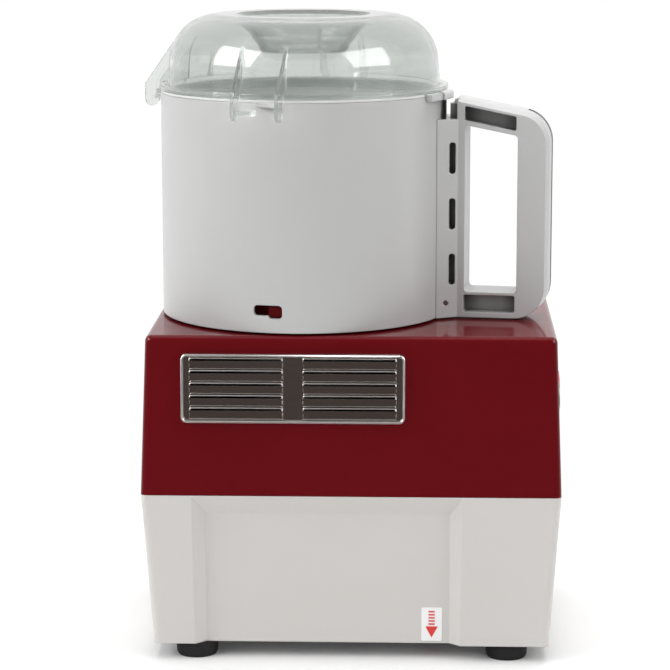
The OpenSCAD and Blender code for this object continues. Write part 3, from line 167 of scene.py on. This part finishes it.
def finish(name, colour, roughness, normal, **fixed):
    """A Principled material. colour, roughness and normal come as functions of the tree."""
    material, tree = new_tree(name)
    inputs = {"Base Color": colour(tree), "Roughness": roughness(tree), "Normal": normal(tree)}
    inputs.update({key.replace("_", " "): value for key, value in fixed.items()})
    shader = node(tree, "BsdfPrincipled", inputs=inputs)
    node(tree, "OutputMaterial", inputs={"Surface": shader})
    return material


def even(colour, spread, scale=22):
    """A colour with slow, faint variation."""
    pale, deep = scaled(colour, 1 + spread), scaled(colour, 1 - spread)
    return lambda tree: blend(tree, noise(tree, scale, 3), deep, pale)


def sheen(low, high):
    """Roughness that wanders from low to high."""
    return lambda tree: noise(tree, 60, 4) * (high - low) + low


def grain(scale, depth, edge):
    return lambda tree: bumped(tree, noise(tree, scale, 2), depth, edge)


def moulded(name, colour, rough, texture, spread=0.03, edge=0.0006, **fixed):
    """Moulded or cast surface. texture is its grain's scale and depth."""
    return finish(name, even(colour, spread), sheen(*rough), grain(*texture, edge), **fixed)


def brushed(name, colour, rough=(0.22, 0.36), along=(8, 900, 900), depth=0.000015, edge=0.0004):
    """Metal with fine scratches along the axis that along stretches least."""
    def lines(tree):
        at = node(tree, "Mapping", inputs={"Vector": place(tree), "Scale": along})
        return noise(tree, 1, 3, at)

    return finish(
        name,
        lambda tree: blend(tree, lines(tree), scaled(colour, 0.9), scaled(colour, 1.06)),
        lambda tree: lines(tree) * (rough[1] - rough[0]) + rough[0],
        lambda tree: bumped(tree, lines(tree), depth, edge),
        Metallic=1.0,
    )


def banded(name, colour, dark, pitch, rough, depth):
    """Stacked sheets or turns of wire: even bands up the z axis."""
    def wave(tree):
        _, _, z = axes(place(tree))
        return (z * (2 * math.pi / pitch)).sine() * 0.5 + 0.5

    return finish(
        name,
        lambda tree: blend(tree, wave(tree), dark, colour),
        lambda tree: noise(tree, 80, 3) * 0.15 + rough,
        lambda tree: bumped(tree, wave(tree), depth, 0),
        Metallic=1.0,
    )


def bowl_plastic():
    """Moulded grey plastic with painted shade: its narrow slots and hollows are darkened in the
    colour by ambient occlusion.
    """
    colour, painted_shade_share = (0.48, 0.48, 0.478), 0.25
    reach, shut, open_wide = 0.012, 0.25, 0.8

    def colour_with_painted_shade(tree):
        settings = {"samples": 8, "only_local": True}
        # painted shade: where ambient occlusion finds slots and hollows close around, the base colour
        # is darkened
        openness = node(tree, "AmbientOcclusion", settings, {"Distance": reach}, output="AO")
        painted_shade, plain = scaled(colour, painted_shade_share), even(colour, 0.012)(tree)
        return blend(tree, openness.above(shut, open_wide), painted_shade, plain)

    return finish("bowl_grey", colour_with_painted_shade, sheen(0.26, 0.34), grain(1100, 0.000012, 0.0011))


def burgundy_paint():
    """Glossy paint: a dull deep red under a clear coat, with wide soft edges."""
    ripple, edge = 0.000006, 0.0028
    return finish(
        "cover_burgundy",
        even((0.115, 0.0020, 0.0046), 0.05, 12),
        sheen(0.30, 0.40),
        lambda tree: bumped(tree, noise(tree, 260, 1), ripple, edge),
        Specular_IOR_Level=0.06,
        Coat_Weight=0.5,
        Coat_Roughness=0.035,
        Coat_IOR=1.5,
    )


def clear_plastic():
    """Clear moulded wall that bends most light, lets some go straight, and all that casts shadows."""
    tint, passed = (0.845, 0.864, 0.850), 0.93
    straight_share, edge_loss = 0.2, 0.15
    ripple, edge = 0.00002, 0.0008
    material, tree = new_tree("lid_clear")
    body = node(tree, "BsdfPrincipled", inputs={
        "Base Color": (*tint, 1),
        "Roughness": 0.015,
        "IOR": 1.49,
        "Transmission Weight": 1.0,
        "Normal": bumped(tree, noise(tree, 35, 2), ripple, edge),
    })
    through = node(tree, "BsdfTransparent", inputs={"Color": (*scaled(tint, passed), 1)})
    rim = node(tree, "LayerWeight", inputs={"Blend": 0.35}, output="Facing")
    straight = rays(tree, "Shadow").largest(straight_share - rim * edge_loss)
    surface = node(tree, "MixShader", inputs={0: straight, 1: body, 2: through})
    node(tree, "OutputMaterial", inputs={"Surface": surface})
    return material


def circuit_board():
    def traces(tree):
        x, y, _ = axes(place(tree))
        lines = ((x * 1900).sine() * (y * 1500).sine()).above(0.55, 0.7)
        return blend(tree, lines, (0.02, 0.14, 0.06), (0.10, 0.34, 0.14))

    return finish("board_green", traces, sheen(0.30, 0.42), grain(900, 0.00001, 0))


finishes = {
    "lower_shell": moulded(
        "shell_warm_grey", (0.575, 0.556, 0.535), (0.36, 0.46), (1500, 0.000012),
        spread=0.015, edge=0.0012),
    "cover_paint": burgundy_paint(),
    "vent_steel": brushed(
        "vent_polished", (0.60, 0.58, 0.56), (0.10, 0.17), along=(6, 500, 500), depth=0.000004),
    "plain_steel": brushed("steel_plain", (0.58, 0.58, 0.58)),
    "foot_rubber": moulded(
        "rubber_black", (0.008, 0.008, 0.008), (0.62, 0.8), (2200, 0.00004),
        spread=0.2, edge=0.001, Specular_IOR_Level=0.35),
    "cast_alloy": moulded(
        "alloy_cast", (0.50, 0.51, 0.52), (0.40, 0.56), (1100, 0.00007),
        spread=0.08, Metallic=1.0),
    "core_steel": banded(
        "core_laminated", (0.30, 0.30, 0.31), (0.10, 0.09, 0.09),
        pitch=0.0012, rough=0.42, depth=0.0002),
    "copper_wire": banded(
        "winding_copper", (0.62, 0.26, 0.11), (0.16, 0.05, 0.02),
        pitch=0.0018, rough=0.30, depth=0.0004),
    "capacitor_can": brushed(
        "can_drawn", (0.56, 0.56, 0.57), (0.28, 0.40), along=(900, 900, 10)),
    "board": circuit_board(),
    "black_plastic": moulded(
        "plastic_black", (0.024, 0.024, 0.025), (0.38, 0.5), (1600, 0.00003),
        spread=0.12, edge=0.0008),
    "white_plastic": moulded(
        "plastic_white", (0.72, 0.72, 0.70), (0.34, 0.46), (1500, 0.00002)),
    "sticker_white": moulded(
        "label_white", (0.84, 0.84, 0.84), (0.34, 0.42), (2600, 0.000006),
        spread=0.01, edge=0.0001),
    "sticker_red": moulded(
        "print_red", (0.66, 0.03, 0.025), (0.34, 0.42), (2600, 0.000006),
        spread=0.02, edge=0),
    "hub_plastic": moulded(
        "plastic_hub", (0.42, 0.42, 0.42), (0.36, 0.48), (1400, 0.00003), spread=0.04),
    "blade_steel": brushed(
        "blade_ground", (0.62, 0.62, 0.63), (0.16, 0.28),
        along=(700, 12, 700), depth=0.00001, edge=0.0003),
    "bowl_plastic": bowl_plastic(),
    "rod_steel": brushed("rod_dark", (0.06, 0.06, 0.06), (0.30, 0.42), along=(900, 900, 10)),
    "seal_silicone": moulded(
        "silicone_white", (0.66, 0.66, 0.65), (0.45, 0.58), (1500, 0.00002), spread=0.02),
    "clear_lid": clear_plastic(),
    "button_green": moulded(
        "button_green", (0.02, 0.30, 0.07), (0.24, 0.34), (1400, 0.00002),
        spread=0.05, edge=0.001),
    "button_red": moulded(
        "button_red", (0.58, 0.018, 0.018), (0.24, 0.34), (1400, 0.00002),
        spread=0.05, edge=0.001),
}

for part in frame["record"]["subparts"]:
    shown = frame["nodes"][part["node"]]
    shown.data.materials.clear()
    shown.data.materials.append(finishes[part["material_slot"]])


# ---- rolled edges of the vent plate and the rod's spring ----


def rod_along(name, paths, facing, sides=14):
    """Round bars along paths of (point, radius) that run across the direction facing."""
    points, faces = [], []
    for path in paths:
        start, count = len(points), len(path)
        for i, (at, radius) in enumerate(path):
            ahead = Vector(path[min(i + 1, count - 1)][0]) - Vector(path[max(i - 1, 0)][0])
            aside = ahead.cross(facing).normalized()
            for k in range(sides):
                turn = 2 * math.pi * k / sides
                spoke = facing * math.cos(turn) + aside * math.sin(turn)
                points.append(Vector(at) + spoke * radius)
        for i in range(count - 1):
            for k in range(sides):
                first, second = start + i * sides, start + (i + 1) * sides
                after = (k + 1) % sides
                faces.append((first + k, first + after, second + after, second + k))
        faces.append(tuple(start + k for k in reversed(range(sides))))
        faces.append(tuple(start + (count - 1) * sides + k for k in range(sides)))
    mesh = bpy.data.meshes.new(name)
    mesh.from_pydata(points, [], faces)
    for face in mesh.polygons:
        face.use_smooth = len(face.vertices) == 4
    made = bpy.data.objects.new(name, mesh)
    bpy.context.scene.collection.objects.link(made)
    return made


def quarter(centre, radius, first, depth):
    """A quarter circle in the vent's plane, clockwise from the angle first in degrees."""
    steps = 6
    angles = [math.radians(first - 90 * i / steps) for i in range(steps + 1)]
    across, up = centre
    return [(across + radius * math.cos(a), depth, up + radius * math.sin(a)) for a in angles]


def rim_paths(half_w, half_h, depth):
    """One closed loop round the plate."""
    corner, rim_r, inset = 0.0034, 0.00085, 0.0007
    x, z = half_w - inset - corner, half_h - inset - corner
    loop = []
    for centre, first in (((x, z), 90), ((x, -z), 0), ((-x, -z), -90), ((-x, z), 180)):
        loop += quarter(centre, corner, first, depth)
    loop.append(loop[0])
    return [[(at, rim_r) for at in loop]]


def lip_paths(half_w, half_h, depth):
    """An arch over each louvre, which thins out down its sides."""
    gap, margin, pitch, rows = 0.015, 0.00625, 0.009, 5
    top, lift, drop, bend = 0.0032, 0.0005, 0.0062, 0.0013
    full_r, side_r, end_r = 0.00045, 0.00034, 0.00012
    width = (2 * half_w - gap) / 2 - margin
    lips = []
    for side in (-1, 1):
        middle = side * (width + gap) / 2
        left, right = middle - width / 2, middle + width / 2
        for row in range(rows):
            height = half_h - top - row * pitch + lift
            down = height - drop
            over = quarter((left + bend, height - bend), bend, 180, depth)
            over += quarter((right - bend, height - bend), bend, 90, depth)
            line = [((left, depth, down), end_r), ((left, depth, height - bend), side_r)]
            line += [(at, full_r) for at in over]
            line += [((right, depth, height - bend * 1.2), side_r), ((right, depth, down), end_r)]
            lips.append(line)
    return lips


def vent_edges():
    """The plate's raised rim and the turned lip round each louvre, in a paler copy of the vent steel
    that paints their highlight lines.
    """
    cover_lean, cover_rise, depth = 0.0045, 0.1164, 0.0004
    low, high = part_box("vent_louvres")
    tilt = math.atan(cover_lean / cover_rise)
    half_w, half_h = (high[0] - low[0]) / 2, (high[2] - low[2]) / 2 / math.cos(tilt)
    front = low[1] + half_h * math.sin(tilt)
    outwards = Vector((0, -1, 0))
    rim = rod_along("vent_rim", rim_paths(half_w, half_h, depth), outwards)
    lip = rod_along("louvre_lips", lip_paths(half_w, half_h, depth), outwards)
    centre = Vector(((low[0] + high[0]) / 2, front, (low[2] + high[2]) / 2))
    # painted highlight: the rim and lips take a much paler, rougher copy of the vent steel so they
    # read as bright lines
    painted_highlight_steel = brushed(
        "vent_edges_painted_highlight", (0.93, 0.91, 0.89), (0.34, 0.46),
        along=(900, 900, 900), depth=0.000004, edge=0)
    for piece in (rim, lip):
        piece.matrix_world = Matrix.Translation(centre) @ Matrix.Rotation(-tilt, 4, "X")
        piece.data.materials.append(painted_highlight_steel)
        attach(piece, "base")


def rod_coil():
    """The spring under the rod's collar (which shortens as the rod goes down), drawn here as one
    fixed coil.
    """
    wire_r, turns, steps, sides, travel = 0.0002, 18, 14, 8, 0.0035
    low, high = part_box("rod_spring")
    x, y = (low[0] + high[0]) / 2, (low[1] + high[1]) / 2
    coil_r = (high[0] - low[0]) / 2 - wire_r
    rise = high[2] - low[2] - 2 * wire_r
    path = []
    for i in range(turns * steps + 1):
        turn = 2 * math.pi * i / steps
        height = low[2] + wire_r + rise * i / (turns * steps)
        path.append(((x + coil_r * math.cos(turn), y + coil_r * math.sin(turn), height), wire_r))
    coil = rod_along("rod_coil", [path], Vector((0, 0, 1)), sides)
    coil.data.materials.append(finishes["plain_steel"])
    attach(coil, "bowl")
    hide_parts("rod_spring")
    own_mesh(coil)


vent_edges()
rod_coil()


# ---- floor, lamps and camera ----

# what shining surfaces see of the room in front of the part
room_dark = (0.085, 0.067, 0.061)


def floor_finish():
    """Pale floor that keeps the object's shadow and runs into the white background.

    The part of it in front is dark to what mirrors it.
    """
    shadow_ends, white_starts = 0.19, 0.55
    front_starts, front_full = 0.13, 0.19
    material, tree = new_tree("floor_pale")
    x, y, _ = axes(place(tree))
    away = ((x * x + y * y) ** 0.5).above(shadow_ends, white_starts)
    plain = node(tree, "BsdfDiffuse", inputs={"Color": (0.86, 0.86, 0.86, 1)})
    white = node(tree, "Emission", inputs={"Color": (1, 1, 1, 1), "Strength": 1.02})
    seen = rays(tree, "Camera", "Transmission", "Glossy")
    pale = node(tree, "MixShader", inputs={0: away * seen, 1: plain, 2: white})
    room = node(tree, "Emission", inputs={"Color": (*room_dark, 1), "Strength": 1.0})
    in_front = (0 - y).above(front_starts, front_full) * mirrored_rays(tree)
    surface = node(tree, "MixShader", inputs={0: in_front, 1: pale, 2: room})
    node(tree, "OutputMaterial", inputs={"Surface": surface})
    return material


def studio_world():
    """White background, even light, and a darker room in front for what shines."""
    world = bpy.data.worlds.new("studio")
    world.use_nodes = True
    tree = world.node_tree
    tree.nodes.clear()
    _, y, z = axes(place(tree, "Generated"))
    room = (0 - y).above(0.02, 0.35) * (1 - z.above(0.9, 1.0)) * mirrored_rays(tree)
    seen = rays(tree, "Camera", "Transmission", "Glossy")
    lit = blend(tree, seen, (0.55, 0.55, 0.55), (1.0, 1.0, 1.0))
    colour = blend(tree, room, lit, room_dark)
    back = node(tree, "Background", inputs={"Color": colour, "Strength": 1.0})
    node(tree, "OutputWorld", inputs={"Surface": back})
    bpy.context.scene.world = world


def soft_lamp(name, at, size, power, *hidden):
    """A soft box that faces the part. hidden names the kinds of rays that don't meet it."""
    light = bpy.data.lights.new(name, "AREA")
    light.shape, light.size, light.size_y = "RECTANGLE", size[0], size[1]
    light.energy = power
    lamp = bpy.data.objects.new(name, light)
    aim = Vector((0, 0, 0.3)) - Vector(at)
    turn = aim.to_track_quat("-Z", "Y").to_matrix().to_4x4()
    lamp.matrix_world = Matrix.Translation(at) @ turn
    for kind in hidden:
        setattr(lamp, "visible_" + kind, False)
    bpy.context.scene.collection.objects.link(lamp)


def side_lamps(side, at, watts, shine_watts):
    """A soft box for plain light, and one a little nearer that shows in what shines."""
    size, nearer = (1.4, 1.3), tuple(0.96 * c for c in at)
    soft_lamp(side + "_lamp", at, size, watts, "glossy")
    soft_lamp(side + "_shine", nearer, size, shine_watts, "diffuse")


def photo_camera():
    """The photograph's camera: its place, turns and focal length in pixels of its frame."""
    at = Vector((0.05430, -1.87528, 0.57184))
    pitch, yaw, roll = math.radians(10.53), math.radians(-2.12), math.radians(-0.07)
    focal_px, frame_px, sensor = 2520.78, 670, 36.0
    level = Vector((math.cos(yaw), -math.sin(yaw), 0))
    ahead = Vector((
        math.sin(yaw) * math.cos(pitch), math.cos(yaw) * math.cos(pitch), -math.sin(pitch)))
    upward = level.cross(ahead)
    right = level * math.cos(roll) + upward * math.sin(roll)
    upright = upward * math.cos(roll) - level * math.sin(roll)
    data = bpy.data.cameras.new("photo_camera")
    data.sensor_fit, data.sensor_width = "HORIZONTAL", sensor
    data.lens = focal_px * sensor / frame_px
    data.clip_start, data.clip_end = 0.05, 60
    camera = bpy.data.objects.new("photo_camera", data)
    turn = Matrix((right, upright, -ahead)).transposed()
    camera.matrix_world = Matrix.Translation(at) @ turn.to_4x4()
    bpy.context.scene.collection.objects.link(camera)
    bpy.context.scene.camera = camera


def flat_mesh(name, low, high):
    mesh = bpy.data.meshes.new(name)
    corners = [(low[0], low[1], 0), (high[0], low[1], 0), (high[0], high[1], 0), (low[0], high[1], 0)]
    mesh.from_pydata(corners, [], [(0, 1, 2, 3)])
    made = bpy.data.objects.new(name, mesh)
    bpy.context.scene.collection.objects.link(made)
    return made


floor = flat_mesh("floor", (-3.0, -0.75), (3.0, 9.0))
floor.data.materials.append(floor_finish())
studio_world()
side_lamps("left", (-1.75, -0.95, 1.28), 27, 46)
side_lamps("right", (1.75, -0.95, 1.28), 16, 36)
soft_lamp("top_lamp", (0.1, 0.3, 2.1), (1.6, 1.6), 35, "glossy", "transmission")
photo_camera()
bpy.context.scene.view_settings.view_transform = "Standard"
